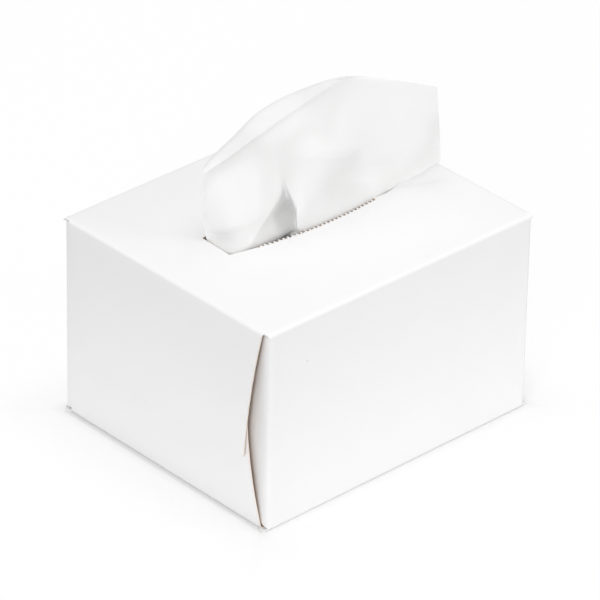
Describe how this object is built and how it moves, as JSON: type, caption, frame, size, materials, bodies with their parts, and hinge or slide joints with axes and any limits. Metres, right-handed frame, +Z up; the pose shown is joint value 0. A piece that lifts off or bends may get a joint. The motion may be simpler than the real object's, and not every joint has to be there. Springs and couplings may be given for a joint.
{
  "type": "pack of lens paper",
  "caption": "Plain white glued board carton of interfolded lens paper, with a torn perforated slot in its top and the first thin sheet drawn up through it.",
  "frame": {"origin": "middle of the carton's base, on the surface that it rests on", "axes": "+X along the slot and the carton's length, +Y across the slot towards the back panel, +Z up"},
  "size_m": [0.128, 0.108, 0.1296],
  "materials": {
    "white_board": "satin white face, tan cut edges and inside",
    "stacked_paper": "matt, soft",
    "lens_paper": "matt, thin and slightly translucent"
  },
  "bodies": {
    "root": {"carton": "white_board", "paper_stack": "stacked_paper", "raised_sheet": "lens_paper"}
  },
  "joints": []
}
